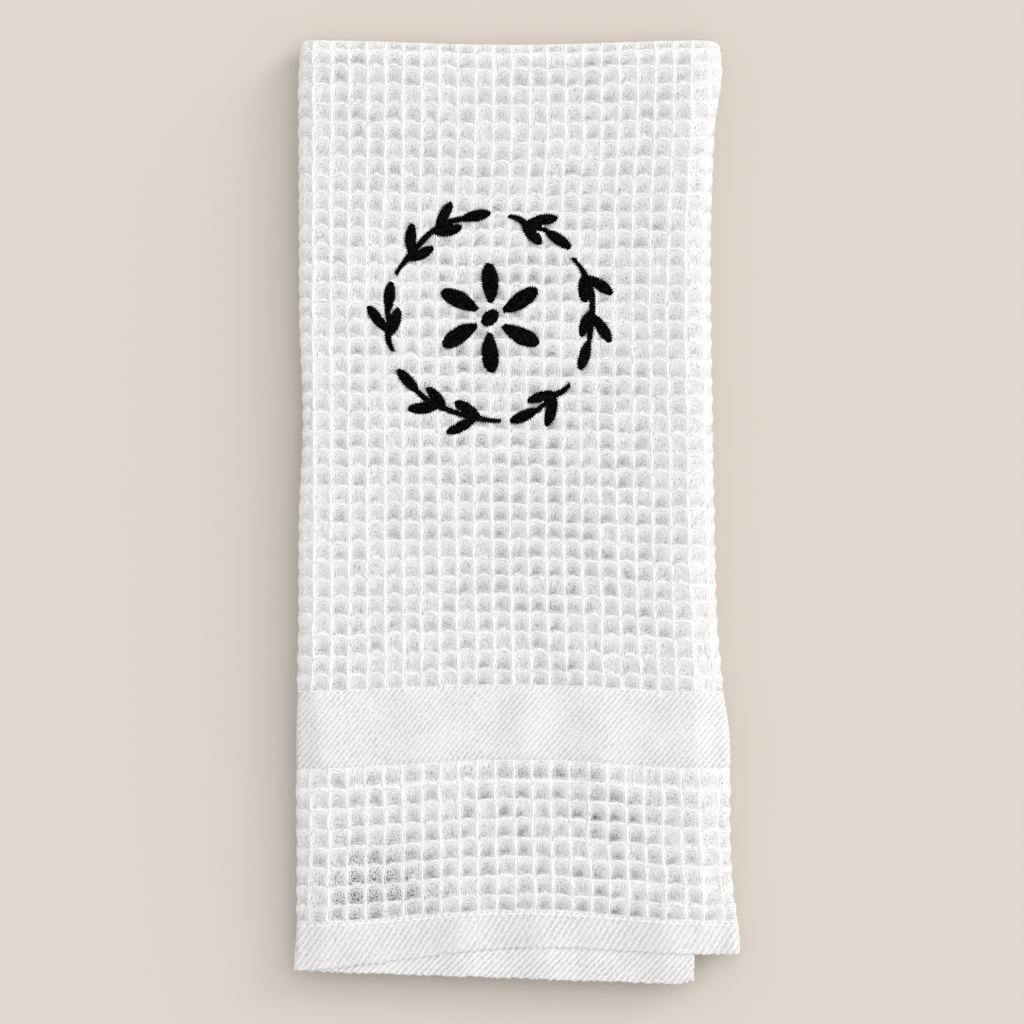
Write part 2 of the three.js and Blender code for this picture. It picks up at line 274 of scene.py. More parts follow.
def add_node(material, kind, settings=(), **inputs):
    """A node of a material. inputs are values or the outputs of other nodes, by the input's name, or by
    its number after an underscore."""
    node = material.node_tree.nodes.new(kind)
    for key, value in dict(settings).items():
        setattr(node, key, value)
    for key, value in inputs.items():
        socket = node.inputs[int(key[1:])] if key[1:].isdigit() else node.inputs[key]
        if isinstance(value, bpy.types.NodeSocket):
            material.node_tree.links.new(value, socket)
        else:
            socket.default_value = value
    return node


def maths(material, operation, first, second=0.0, third=0.0):
    node = add_node(material, "ShaderNodeMath", {"operation": operation}, _0=first, _1=second, _2=third)
    return node.outputs[0]


def ramp(material, value, start, end, low=0.0, high=1.0):
    """low up to the start, high from the end on, and a straight slope between."""
    return add_node(material, "ShaderNodeMapRange", _0=value, _1=start, _2=end, _3=low, _4=high).outputs[0]


def speckle(material, scale, detail=2.0):
    place = add_node(material, "ShaderNodeTexCoord").outputs["Object"]
    return add_node(material, "ShaderNodeTexNoise", Vector=place, Scale=scale, Detail=detail).outputs[0]


def color_cotton(material, surface, dark):
    """Cotton white, a third darker for each unit of dark."""
    share = maths(material, "MAXIMUM", maths(material, "MULTIPLY_ADD", dark, -0.33, 1.0), 0.15)
    color = add_node(material, "ShaderNodeVectorMath", {"operation": "SCALE"}, _0=COTTON_WHITE, Scale=share)
    material.node_tree.links.new(color.outputs[0], surface.inputs["Base Color"])


def raise_bump(material, surface, height, distance):
    bump = add_node(material, "ShaderNodeBump", Strength=1.0, Distance=distance, Height=height)
    material.node_tree.links.new(bump.outputs[0], surface.inputs["Normal"])


WAFFLE_COLUMNS = 22
FOLD_ROW_RUNS = (-0.0082, -0.0014, 0.0054, FOLD_QUARTER + 0.00135)
FOLD_ROWS = len(FOLD_ROW_RUNS) - 1
FIELD_ROWS = 34
LOWER_ROWS = 8
LEFT_SHOWN_COLUMN = -2
RIGHT_SHOWN_COLUMN = WAFFLE_COLUMNS + 2
LEFT_FREE_COLUMN = -22
RIGHT_FREE_COLUMN = 45
RIDGE_LIFT = 0.0009
FLOOR_LIFT = -0.00005
COVERED_LIFT = -0.00062
BAND_LIFT = 0.0005
COVERED_BAND_LIFT = -0.0003
BAND_WRONG_LIFT = -0.0006
HEM_CORE_LIFT = 0.0002

# Where the first and the last upright ridge of the waffle run on the panel that shows
RIDGES = {
    "down": [0, 0.034, 0.060, 0.105, 0.150, 0.200, 0.232, 0.285, 0.302, 0.317],
    "first": [-0.0762, -0.0762, -0.0763, -0.0764, -0.0762, -0.0762, -0.0765, -0.0773, -0.0770, -0.0777],
    "last": [0.0719, 0.0716, 0.0699, 0.0693, 0.0701, 0.0712, 0.0728, 0.0750, 0.0753, 0.0767],
}

# How far the rows of the front field are drawn up, and over what shares of the field that comes and goes
LEFT_ROWS_RISE = 0.0021
RIGHT_ROWS_RISE = 0.0004
RISE_START = 0.10
RISE_GROWTH = 0.28
RISE_END = 0.12


def fold_outsides(run):
    """How far across the cloth reaches furthest out on its left and right side folds."""
    left, right = side_folds(run)
    outside = math.pi / 2 - 1
    return left - LEFT_FOLD_RADIUS * outside, right + RIGHT_FOLD_RADIUS * outside


def free_edges(run):
    """How far across the flaps' free edges are."""
    left, right = side_folds(run)
    middle = (left + right) / 2
    left_edge = 2 * left - (math.pi - 2) * LEFT_FOLD_RADIUS - middle - LEFT_FLAP_REACH
    right_edge = 2 * right + (math.pi - 2) * RIGHT_FOLD_RADIUS - middle + RIGHT_FLAP_REACH
    return left_edge, right_edge


def column_across(column, run):
    """Distance across the cloth to a column of the waffle. One ridge runs along the outside of the left
    fold, and the outermost columns end at the flaps' free edges."""
    first = read_table(RIDGES, "first", down_at(run))
    pitch = (read_table(RIDGES, "last", down_at(run)) - first) / WAFFLE_COLUMNS
    left_outside = fold_outsides(run)[0]
    left_edge, right_edge = free_edges(run)
    on_panel = first + np.maximum(column, 0) * pitch
    to_fold = np.clip(column, -1, 0) * (first - left_outside)
    on_flap = np.clip(column + 1, LEFT_FREE_COLUMN + 2, 0) * pitch
    across = on_panel + to_fold + on_flap
    past_left = np.clip(LEFT_FREE_COLUMN + 1 - column, 0, 1)
    past_right = np.clip(column - RIGHT_FREE_COLUMN + 1, 0, 1)
    right_inner = first + (RIGHT_FREE_COLUMN - 1) * pitch
    across = across + (left_edge - across) * past_left
    return np.where(past_right > 0, right_inner + (right_edge - right_inner) * past_right, across)


def woven_line(half, line, column):
    """Run of cloth to a line where a column of the waffle meets it."""
    lines = FRONT_LINES if half > 0 else BACK_LINES
    about = run_at(half, lines[line][LINE_PLACES.index("middle")])
    return line_run(half, line, column_across(column, about))


def field_run(row, column):
    """Run of cloth to a row of the front waffle field, which goes on round the crosswise fold. Between
    the fold and the band its rows are drawn up a little."""
    to_band = woven_line(1, "band_head", column) - FOLD_ROW_RUNS[-1]
    round_fold = np.interp(row, np.arange(-FOLD_ROWS, 1), FOLD_ROW_RUNS)
    share = row / FIELD_ROWS
    rise = LEFT_ROWS_RISE + (RIGHT_ROWS_RISE - LEFT_ROWS_RISE) * np.clip(column / WAFFLE_COLUMNS, 0, 1)
    rise = rise * smooth((share - RISE_START) / RISE_GROWTH) * smooth((1 - share) / RISE_END)
    return np.where(row > 0, FOLD_ROW_RUNS[-1] + to_band * share - rise, round_fold)


def back_field_run(row, column):
    to_band = woven_line(-1, "band_head", column) - FOLD_ROW_RUNS[0]
    return FOLD_ROW_RUNS[0] + to_band * row / FIELD_ROWS


def lower_field_run(half, row, column):
    foot = woven_line(half, "band_foot", column)
    return foot + (woven_line(half, "hem_line", column) - foot) * row / LOWER_ROWS


def stations(first, last, inside):
    """Places from one ridge to another, with the same places inside each cell."""
    cells = np.arange(first, last)[:, None] + np.array(inside)
    return cells.ravel()


GROUND_ROW_STEPS = (0, 1 / 3, 2 / 3)
GROUND_FLAP_STEPS = (0, 1 / 2)
GROUND_FOLD_STEPS = tuple(np.arange(8) / 8)
HEM_INSIDE = 0.0025


def ground_rows(column):
    """Runs of the ground cloth's rows from the front hem to the back hem, and the kind of each row."""

    def half_rows(half):
        hem = woven_line(half, "hem_line", column)
        foot = woven_line(half, "band_foot", column)
        head = woven_line(half, "band_head", column)
        edge = woven_line(half, "hem_edge", column) - half * HEM_INSIDE
        rows = [(edge + (hem - edge) * t / 3, "hem") for t in range(3)]
        for row in stations(0, LOWER_ROWS, GROUND_ROW_STEPS)[::-1]:
            rows.append((lower_field_run(half, row, column), "ridge" if row == int(row) else "floor"))
        rows += [(foot + (head - foot) * t / 6, "band") for t in range(1, 7)]
        field, start = (field_run, -FOLD_ROWS) if half > 0 else (back_field_run, 1)
        for row in stations(start, FIELD_ROWS, GROUND_ROW_STEPS)[::-1]:
            rows.append((field(row, column), "ridge" if row == int(row) else "floor"))
        return rows

    rows = half_rows(1) + half_rows(-1)[::-1]
    return np.array([run for run, _ in rows]), np.array([kind for _, kind in rows])[:, None]


def ground_columns():
    return np.concatenate([
        stations(LEFT_FREE_COLUMN, LEFT_SHOWN_COLUMN, GROUND_FLAP_STEPS),
        stations(LEFT_SHOWN_COLUMN, 0, GROUND_FOLD_STEPS),
        stations(0, WAFFLE_COLUMNS, (0,)),
        stations(WAFFLE_COLUMNS, RIGHT_SHOWN_COLUMN, GROUND_FOLD_STEPS),
        stations(RIGHT_SHOWN_COLUMN, RIGHT_FREE_COLUMN, GROUND_FLAP_STEPS),
        [RIGHT_FREE_COLUMN],
    ])


def weave_ground():
    """The closed ground cloth: its right side, its wrong side, and the rim that joins them."""
    column = ground_columns()
    run, kind = ground_rows(column)
    on_flap = (column < LEFT_SHOWN_COLUMN) | (column > RIGHT_SHOWN_COLUMN)
    on_ridge = (column == np.floor(column)) | (kind == "ridge")
    waffle_lift = np.where(on_flap, np.where(on_ridge, RIDGE_LIFT, FLOOR_LIFT), COVERED_LIFT)
    band_lift = np.where(on_flap, BAND_LIFT, COVERED_BAND_LIFT)
    flat_places = [kind == "hem", kind == "band"]
    right_lift = np.select(flat_places, [HEM_CORE_LIFT, band_lift], waffle_lift)
    wrong_lift = np.select(flat_places, [-HEM_CORE_LIFT, BAND_WRONG_LIFT], -WAFFLE_THICK / 2)
    across = column_across(column, run)
    right_side = lay_cloth(across, run, right_lift).reshape(-1, 3)
    wrong_side = lay_cloth(across, run, wrong_lift + 0 * across).reshape(-1, 3)
    number = np.arange(run.size).reshape(run.shape)
    rim = np.concatenate([number[0, :], number[1:, -1], number[-1, -2::-1], number[-2:0:-1, 0]])
    next_rim = np.roll(rim, -1)
    rim_quads = np.stack([rim, rim + run.size, next_rim + run.size, next_rim], axis=-1)
    quads = np.concatenate([grid_faces(*run.shape), grid_faces(*run.shape, run.size, flip=True), rim_quads])
    return np.concatenate([right_side, wrong_side]), quads


def ground_cotton():
    """White cotton yarn, matt, with the faint unevenness of spun thread."""
    material, surface = new_material("cotton_ground", COTTON_WHITE, 0.95)
    yarn = speckle(material, 1800.0)
    color_cotton(material, surface, ramp(material, yarn, 0.6, 0.3, 0.0, 0.3))
    raise_bump(material, surface, yarn, 0.00025)
    return material


towel_cloth = make_mesh("towel_cloth", *weave_ground(), ground_cotton())
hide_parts("towel")


# The waffle fields are honeycomb weave: long floats of yarn stand up as square ridges round sunken
# cells, and each cell's four slopes are made of threads that lie along its sides. They are woven in
# one with the bands and hems. The ridges bow and the cells vary, as the yarn shrinks in the wash.
FINE_STEPS = (0, 0.04, 0.09, 0.17, 0.31, 0.5, 0.69, 0.83, 0.91, 0.96)
COARSE_STEPS = (0, 0.08, 0.2, 0.36, 0.5, 0.64, 0.8, 0.92)
CORD_LIFT = 0.00022
CORD_WIDTH = 0.085
CORNER_DROP = 0.0002
CORNER_SPREAD = 0.0001
RISE_SPREAD = 0.00012
FLOOR_SPREAD = 0.00015
CELL_SLOPE = 1.5
CELL_SQUARENESS = 5
UPRIGHT_BOW = 0.045
UPRIGHT_BOW_SPREAD = 0.9
LEVEL_BOW = 0.16
LEVEL_BOW_SPREAD = 0.55
LEVEL_BOW_LOSS = 0.25
RIDGE_WANDER = 0.045
ROW_SAG = 0.16
LOW_ACROSS = -0.10
LOW_OUTWARD = -0.10
LOW_DOWN = 0.25
LOW_SPREAD = 0.22
# Painted shade in each cell: where its darkest point lies, low and to the left, and how it spreads out and
# fades towards the ridges and the foot of the cell.
SHADE_ACROSS = -0.22
SHADE_OUTWARD = -0.20
SHADE_SPREAD_ACROSS = 0.30
SHADE_DOWN = 0.52
SHADE_SPREAD_DOWN = 0.28
SHADE_SQUARENESS = 2.5
SHADE_TO_FOOT = 2.2
SHADE_TO_SIDES = 1.7
FOOT_STEP = 0.00025
# A painted shadow line along the band's foot over the top of the first row below it, how much painted shade
# that row keeps, and where its darkest point lies.
FOOT_SHADOW = 0.5
FOOT_SHADOW_WIDTH = 0.07
FOOT_ROW_SHADE = 0.85
FOOT_SHADE_DOWN = 0.2
TUCK_LENGTH = 0.0005
TUCK_DEPTH = 0.0004
FOLD_LIFT = 0.00045
FOLD_BULGE = 0.0006
FOLD_FLATTEN = 0.85
LEFT_FOLD_SOFT = 0.003
RIGHT_FOLD_SOFT = 0.0045
CROSSWISE_FLATTEN = 0.6
CROSSWISE_SOFT = 0.004
MOTIF_CENTRE = (-0.0099, 0.0727)
MOTIF_REACH = 0.048
MOTIF_SOFT = 0.010
MOTIF_LEVEL = 0.0002
MOTIF_FLATTEN = 0.50
# Painted shade in the cells fades near the side folds: by this share, over these reaches from the left and
# the right fold.
SIDE_SHADE_LOSS = 0.40
SIDE_SHADE_LEFT = 0.018
SIDE_SHADE_RIGHT = 0.026
THREADS_IN_CELL = 3.9

# The cells that can be seen through, painted darker with the shade of the layers beneath: across, down,
# wide, long
SHEER_CELLS = (-0.0535, 0.3165, 0.019, 0.014)
SHEER_STRENGTH = 0.75

# Where the cells carry more painted shade: across, down, wide, long, share
DEEPER_SHADE_PLACES = {
    "round the motif": (-0.010, 0.104, 0.042, 0.042, 0.30),
    "middle": (0.012, 0.190, 0.040, 0.070, 0.25),
    "under the band": (0.020, 0.293, 0.032, 0.020, 0.30),
    "over the hem": (0.010, 0.325, 0.080, 0.010, 0.20),
}


def vary(rng, shape, middle, spread):
    return middle + spread * rng.uniform(-1, 1, shape)


def blend_corners(values, j, i, q, p):
    """A value that each crossing of ridges has, blended between the four crossings round a cell."""
    head = values[j, i] * (1 - p) + values[j, i + 1] * p
    foot = values[j + 1, i] * (1 - p) + values[j + 1, i + 1] * p
    return head * (1 - q) + foot * q


def out_of_cell(a, b, across, down, squareness, steepness=1.0):
    """How far out a place is from a point in its cell, from 0 at that point to 1 on the ridges."""
    off_across = a - across
    off_down = b - down
    away_across = (np.abs(off_across) / (1 - np.sign(off_across) * across)) ** steepness
    away_down = np.abs(off_down) / (1 - np.sign(off_down) * down)
    return np.minimum((away_across**squareness + away_down**squareness) ** (1 / squareness), 1)


def weave_waffle(columns, rows, seed, upright_bow=1.0, level_bow=1.0, below_band=False):
    """Where each point of a waffle field lies in the weave once its ridges have bowed, its lift, and
    how much painted shade it has there, from 0 on the ridges to 1."""
    rng = np.random.default_rng(seed)
    column, row = np.meshgrid(columns, rows)
    shape = (int(rows[-1] - rows[0]) + 1, int(columns[-1] - columns[0]) + 1)
    i = np.minimum(np.floor(column - columns[0]).astype(int), shape[1] - 2)
    j = np.minimum(np.floor(row - rows[0]).astype(int), shape[0] - 2)
    p = column - columns[0] - i
    q = row - rows[0] - j
    wander_right = vary(rng, shape, 0, RIDGE_WANDER)
    wander_up = vary(rng, shape, 0, RIDGE_WANDER)
    outward = np.linspace(-1, 1, shape[1])
    rightward_loss = 1 - LEVEL_BOW_LOSS * outward
    bow_right = vary(rng, shape, UPRIGHT_BOW * outward, UPRIGHT_BOW_SPREAD * UPRIGHT_BOW) * upright_bow
    bow_up = vary(rng, shape, LEVEL_BOW, LEVEL_BOW_SPREAD * LEVEL_BOW) * level_bow * rightward_loss
    sag = ROW_SAG + np.full(shape, LEVEL_BOW * level_bow) * rightward_loss
    corner = vary(rng, shape, RIDGE_LIFT - CORNER_DROP, CORNER_SPREAD)
    upright_rise = vary(rng, shape, CORNER_DROP, RISE_SPREAD)
    level_rise = vary(rng, shape, CORNER_DROP * 0.7, RISE_SPREAD)
    for border in (0, -1):
        wander_up[border] = 0
        bow_up[border] = 0
        sag[border] = 0
        corner[border] = BAND_LIFT - CORD_LIFT
        level_rise[border] = 0
    if below_band:
        corner[0] -= FOOT_STEP
    bowed_right = (bow_right[j, i] * (1 - p) + bow_right[j, i + 1] * p) * np.sin(np.pi * q)
    bowed_up = (bow_up[j, i] * (1 - q) + bow_up[j + 1, i] * q) * np.sin(np.pi * p)
    sagged = blend_corners(sag - wander_up, j, i, q, p)
    moved_column = column + blend_corners(wander_right, j, i, q, p) + bowed_right
    moved_row = row + sagged - bowed_up

    a = 2 * p - 1
    b = 2 * q - 1
    corners = blend_corners(corner, j, i, q, p)
    across_rise = upright_rise[j, i] * (1 - p) + upright_rise[j, i + 1] * p
    down_rise = level_rise[j, i] * (1 - q) + level_rise[j + 1, i] * q
    upright_share = a**4 / (a**4 + b**4 + 1e-9)
    top = corners + across_rise * (1 - b**4) * upright_share + down_rise * (1 - a**4) * (1 - upright_share)
    low_across = vary(rng, shape, LOW_ACROSS + LOW_OUTWARD * outward, LOW_SPREAD)
    low_down = vary(rng, shape, LOW_DOWN, LOW_SPREAD)
    if below_band:
        low_down[0] = -LOW_DOWN
    floor = vary(rng, shape, FLOOR_LIFT, FLOOR_SPREAD)[j, i]
    out = out_of_cell(a, b, low_across[j, i], low_down[j, i], CELL_SQUARENESS)
    to_ridge = np.minimum(1 - np.abs(a), 1 - np.abs(b)) / 2
    lift = floor + (top - floor) * out**CELL_SLOPE + CORD_LIFT * swelling(to_ridge / CORD_WIDTH)
    # Painted shade, darkest at a point low in each cell.
    shade_across = vary(rng, shape, SHADE_ACROSS + SHADE_OUTWARD * outward, SHADE_SPREAD_ACROSS)
    shade_down = vary(rng, shape, SHADE_DOWN, SHADE_SPREAD_DOWN)
    if below_band:
        shade_down[0] = FOOT_SHADE_DOWN
    below_point = smooth((b - shade_down[j, i]) * 4)
    shade_out = out_of_cell(a, b, shade_across[j, i], shade_down[j, i], SHADE_SQUARENESS, SHADE_TO_SIDES)
    cell_shade = 1 - shade_out ** (1 + (SHADE_TO_FOOT - 1) * below_point)
    # Under the band the first row keeps less painted shade, and a painted shadow line runs along the band's
    # foot.
    if below_band:
        cell_shade = np.where(row < 1, FOOT_ROW_SHADE * cell_shade, cell_shade)
        cell_shade = np.maximum(cell_shade, FOOT_SHADOW * smooth(1 - row / FOOT_SHADOW_WIDTH))
    return moved_column, moved_row, lift, cell_shade


def tucked(values, onward=0, back=1):
    """Rows with one more before the first and one after the last, which lie tucked under what adjoins."""
    return np.concatenate([values[:1] - back * onward, values, values[-1:] + onward])


def lay_waffle(name, columns, rows, seed, run_of, shade_scale=1.05, **bows):
    """A waffle field. It is flatter where it goes round a fold and where the embroidery holds it. The
    painted shade in its cells grows with the given amount."""
    column, row, lift, cell_shade = weave_waffle(columns, rows, seed, **bows)
    run = run_of(row, column)
    across = column_across(column, run)
    down = down_at(run)
    left_outside, right_outside = fold_outsides(run)
    on_left_fold = swelling((across - left_outside) / LEFT_FOLD_SOFT)
    on_right_fold = swelling((across - right_outside) / RIGHT_FOLD_SOFT)
    on_fold = np.maximum(on_left_fold, on_right_fold)
    phase = 0.5 * smooth((down - 0.03) / 0.12)
    bulge = FOLD_LIFT - BAND_LIFT + FOLD_BULGE * np.abs(np.sin(np.pi * (rows[:, None] + phase)))
    from_border = np.minimum(rows - rows[0], rows[-1] - rows)[:, None]
    lift = lift + (BAND_LIFT + bulge * smooth(from_border * 1.5) - lift) * FOLD_FLATTEN * on_fold
    lift = lift + (RIDGE_LIFT - lift) * CROSSWISE_FLATTEN * swelling(run / CROSSWISE_SOFT)
    from_motif = np.hypot(across - MOTIF_CENTRE[0], FOLD_Y - down - MOTIF_CENTRE[1])
    near_motif = MOTIF_FLATTEN * smooth((MOTIF_REACH - from_motif) / MOTIF_SOFT + 1) * (run > 0)
    lift = lift + (MOTIF_LEVEL - lift) * near_motif
    sheer = SHEER_STRENGTH * near(across, down, *SHEER_CELLS) * (run > 0)
    onward = np.sign(run[-1] - run[0]) * TUCK_LENGTH
    points = lay_cloth(tucked(across), tucked(run, onward), tucked(lift, -TUCK_DEPTH, -1))
    weave = tucked(np.stack(np.meshgrid(columns, rows), axis=-1))
    # Less painted shade near the side folds, and more in the places listed above.
    from_sides = np.minimum((across - left_outside) / SIDE_SHADE_LEFT, (right_outside - across) / SIDE_SHADE_RIGHT)
    shade_strength = shade_scale * (1 - SIDE_SHADE_LOSS * smooth(1 - from_sides))
    for *place, more in DEEPER_SHADE_PLACES.values():
        shade_strength *= 1 + more * near(across, down, *place)
    # The cells' painted shade and their sheer marks go to the material.
    cell = tucked(np.stack([cell_shade * shade_strength, sheer], axis=-1))
    quads = grid_faces(len(rows) + 2, len(columns))
    piece = make_mesh(name, points, quads, waffle_material, weave=weave, cell=cell)
    return piece


def place_in(material, weave_name):
    return add_node(material, "ShaderNodeUVMap", {"uv_map": weave_name}).outputs[0]


def waffle_cotton():
    """White cotton whose threads lie in squares round each cell, with painted shade: grey at the cell's
    floor, between its threads, between the paired threads of its ridges, and where sheer cells show the
    shade beneath.
    """
    material, surface = new_material("cotton_waffle", COTTON_WHITE, 0.95)
    weave = place_in(material, "weave")
    whole_cells = add_node(material, "ShaderNodeVectorMath", {"operation": "FLOOR"}, _0=weave).outputs[0]
    flat = {"noise_dimensions": "2D"}
    chance = add_node(material, "ShaderNodeTexWhiteNoise", flat, Vector=whole_cells).outputs[0]
    place = add_node(material, "ShaderNodeSeparateXYZ", Vector=weave)
    across = maths(material, "FRACT", place.outputs[0])
    down = maths(material, "FRACT", place.outputs[1])
    off_across = maths(material, "ABSOLUTE", maths(material, "MULTIPLY_ADD", across, 2.0, -1.0))
    off_down = maths(material, "ABSOLUTE", maths(material, "MULTIPLY_ADD", down, 2.0, -1.0))
    level_threads = maths(material, "MULTIPLY", off_down, ramp(material, chance, 0.0, 0.7, 0.1, 1.0))
    out = maths(material, "SMOOTH_MAX", off_across, level_threads, 0.25)
    yarn = speckle(material, 1100.0)
    fuzz = speckle(material, 1500.0)
    drift = speckle(material, 420.0)
    wobble = maths(material, "MULTIPLY_ADD", yarn, 0.20, maths(material, "MULTIPLY_ADD", drift, 0.7, out))
    thread = maths(material, "COSINE", maths(material, "MULTIPLY", wobble, 2 * math.pi * THREADS_IN_CELL))

    cell = add_node(material, "ShaderNodeSeparateXYZ", Vector=place_in(material, "cell"))
    cell_shade = cell.outputs[0]
    # Painted shade at each cell's floor, varied from cell to cell and in patches.
    patch = ramp(material, speckle(material, 260.0), 0.35, 0.65, -0.25, 0.35)
    spread = maths(material, "ADD", ramp(material, chance, 0.0, 1.0, 0.60, 1.05), patch)
    painted_cell_shade = maths(material, "MULTIPLY", maths(material, "POWER", cell_shade, 1.5), spread)
    strength = maths(material, "MULTIPLY", ramp(material, fuzz, 0.38, 0.62, 0.06, 0.78),
                     ramp(material, cell_shade, 0.04, 0.4, 0.04, 1.0))
    # Painted shade in the gaps between the threads.
    gaps = ramp(material, thread, 0.6, -0.8)
    gap_shade = maths(material, "MULTIPLY", gaps, strength)
    # Painted shade of the layers beneath, seen through the sheer cells.
    sheer = maths(material, "MULTIPLY", cell.outputs[1], ramp(material, cell_shade, 0.03, 0.35))
    see_through = maths(material, "MULTIPLY_ADD", gaps, ramp(material, fuzz, 0.42, 0.58, 0.0, 1.7), 0.35)
    sheer_shade = maths(material, "MULTIPLY", sheer, see_through)
    # Painted shade between the paired threads of the upright ridges.
    pair_gap_shade = maths(material, "MULTIPLY", ramp(material, off_across, 0.90, 1.0, 0.0, 0.45),
                     ramp(material, fuzz, 0.35, 0.6, 0.3, 1.0))
    floor_shade = maths(material, "ADD", painted_cell_shade, gap_shade)
    dark = maths(material, "ADD", floor_shade, maths(material, "ADD", sheer_shade, pair_gap_shade))
    color_cotton(material, surface, dark)
    height = maths(material, "MULTIPLY_ADD", yarn, 1.0, maths(material, "MULTIPLY", thread, 0.5))
    raise_bump(material, surface, height, 0.00016)
    return material


waffle_material = waffle_cotton()
shown_columns = np.append(stations(LEFT_SHOWN_COLUMN, RIGHT_SHOWN_COLUMN, FINE_STEPS), RIGHT_SHOWN_COLUMN)
under_columns = np.append(stations(LEFT_SHOWN_COLUMN, RIGHT_SHOWN_COLUMN, COARSE_STEPS), RIGHT_SHOWN_COLUMN)
field_rows = np.append(stations(-FOLD_ROWS, FIELD_ROWS, FINE_STEPS), FIELD_ROWS)
lower_rows = np.append(stations(0, LOWER_ROWS, FINE_STEPS), LOWER_ROWS)
under_field_rows = np.append(stations(0, FIELD_ROWS, COARSE_STEPS), FIELD_ROWS)
under_lower_rows = np.append(stations(0, LOWER_ROWS, COARSE_STEPS), LOWER_ROWS)
front_waffle = lay_waffle("front_waffle", shown_columns, field_rows, 11, field_run)
front_lower_waffle = lay_waffle(
    "front_lower_waffle", shown_columns, lower_rows, 12,
    lambda row, column: lower_field_run(1, row, column), shade_scale=1.18, upright_bow=1.4, level_bow=0.6,
    below_band=True)
back_waffle = lay_waffle("back_waffle", under_columns, under_field_rows, 13, back_field_run)
back_lower_waffle = lay_waffle(
    "back_lower_waffle", under_columns, under_lower_rows, 14,
    lambda row, column: lower_field_run(-1, row, column), below_band=True)


# A band of plain twill crosses the cloth between the waffle fields near each end. Its warp floats make
# fine slanting ribs. It is thinner than the waffle, so it lies lower and ripples softly.
RIB_PITCH = 0.00222
RIB_LIFT = 0.00022
RIB_POINTS = 6
BAND_SLANT = math.radians(51)
BAND_DOWN = 0.250
BAND_STEPS = 24
SLANT_ROOM = 0.025
WEFT_PITCH = 0.0011
FOOT_START = 0.96
RIPPLE_LIFT = 0.00016
RIPPLE_LENGTH = 0.026
RIPPLE_DRIFT = 1.3
RIPPLE_DRIFT_LENGTH = 0.021
RIPPLE_TURN = 0.5


def twill_cotton():
    """White cotton in twill: bright ribs of warp floats that break here and there, with painted shade in the
    grooves between them.
    """
    material, surface = new_material("cotton_twill", COTTON_WHITE, 0.92)
    weave = place_in(material, "weave")
    place = add_node(material, "ShaderNodeSeparateXYZ", Vector=weave)
    broken = add_node(material, "ShaderNodeTexNoise", Vector=weave, Scale=0.9, Detail=3.0).outputs[0]
    yarn = speckle(material, 1500.0)
    rib = maths(material, "MULTIPLY_ADD", broken, 0.7, place.outputs[0])
    ribs = maths(material, "COSINE", maths(material, "MULTIPLY", rib, 2 * math.pi))
    # Painted shade in the grooves, stronger and weaker in patches, and a little grey all over.
    shade_strength = maths(material, "MULTIPLY", ramp(material, yarn, 0.35, 0.6, 0.35, 1.05),
                 ramp(material, speckle(material, 90.0), 0.38, 0.6, 0.75, 1.0))
    groove_shade = maths(material, "MULTIPLY_ADD", ramp(material, ribs, 0.8, 0.0), shade_strength, 0.09)
    color_cotton(material, surface, groove_shade)
    raise_bump(material, surface, yarn, 0.00020)
    return material


def rib_height(rib):
    """Narrow rounded ribs with wider grooves between them."""
    return RIB_LIFT * (0.5 + 0.5 * np.cos(2 * np.pi * rib)) ** 1.5


def lay_band(name, half):
    """A twill band from its head to its foot, with the mesh's columns running along the ribs."""
    about = run_at(half, BAND_DOWN)
    start = float(column_across(LEFT_SHOWN_COLUMN, about))
    end = float(column_across(RIGHT_SHOWN_COLUMN, about)) + SLANT_ROOM
    steps = np.concatenate([np.linspace(0, FOOT_START, BAND_STEPS), [(1 + FOOT_START) / 2, 1]])
    rib, step = np.meshgrid(np.arange(0, (end - start) / RIB_PITCH, 1 / RIB_POINTS), steps)
    upright = start + rib * RIB_PITCH
    depth = np.abs(line_run(half, "band_foot", upright) - line_run(half, "band_head", upright))
    below = step * depth
    across = upright - below / math.tan(BAND_SLANT)
    head = line_run(half, "band_head", across)
    run = head + (line_run(half, "band_foot", across) - head) * step
    fade = smooth(np.minimum(step, 1 - step) * 10)
    drift = RIPPLE_DRIFT * np.sin(across / RIPPLE_DRIFT_LENGTH)
    ripple = RIPPLE_LIFT * np.sin(2 * np.pi * across / RIPPLE_LENGTH + drift + RIPPLE_TURN * step)
    foot = FOOT_STEP * smooth((step - FOOT_START) / (1 - FOOT_START))
    lift = BAND_LIFT + (rib_height(rib) + ripple) * fade - foot
    points = lay_cloth(across, run, lift)
    weave = np.stack([rib, below / WEFT_PITCH], axis=-1)
    piece = make_mesh(name, points, grid_faces(*rib.shape), twill_material, weave=weave)
    return piece


twill_material = twill_cotton()
front_band = lay_band("front_band", 1)
back_band = lay_band("back_band", -1)


# Each end of the cloth is turned under twice and stitched down, which makes a hem of three thin twill
# layers with a rounded edge. The hems of the flaps lie inside the fold, and the left flap's shows
# below the panel's.
HEM_LIFT = 0.0006
HEM_LINE_DOWN = 0.330
HEM_DOWN = 0.335
HEM_SLANT = math.radians(57)
HEM_BACK_SLANT = math.radians(50)
HEM_RIB_PITCH = 0.0024
HEM_HEAD_STEPS = (0, 0.03, 0.08)
HEM_STEPS = 12
HEM_EDGE_STEPS = 8
HEM_RISE = 0.0012
HEM_END = 0.0004
HEM_RAGGED = 0.00042
HEM_RAGGED_PITCH = 0.0009
HEM_SLANT_END = 0.035
HEM_CORNER = 0.0016
HEM_CORNER_LENGTH = 0.0045
HEM_TAPER = 0.45


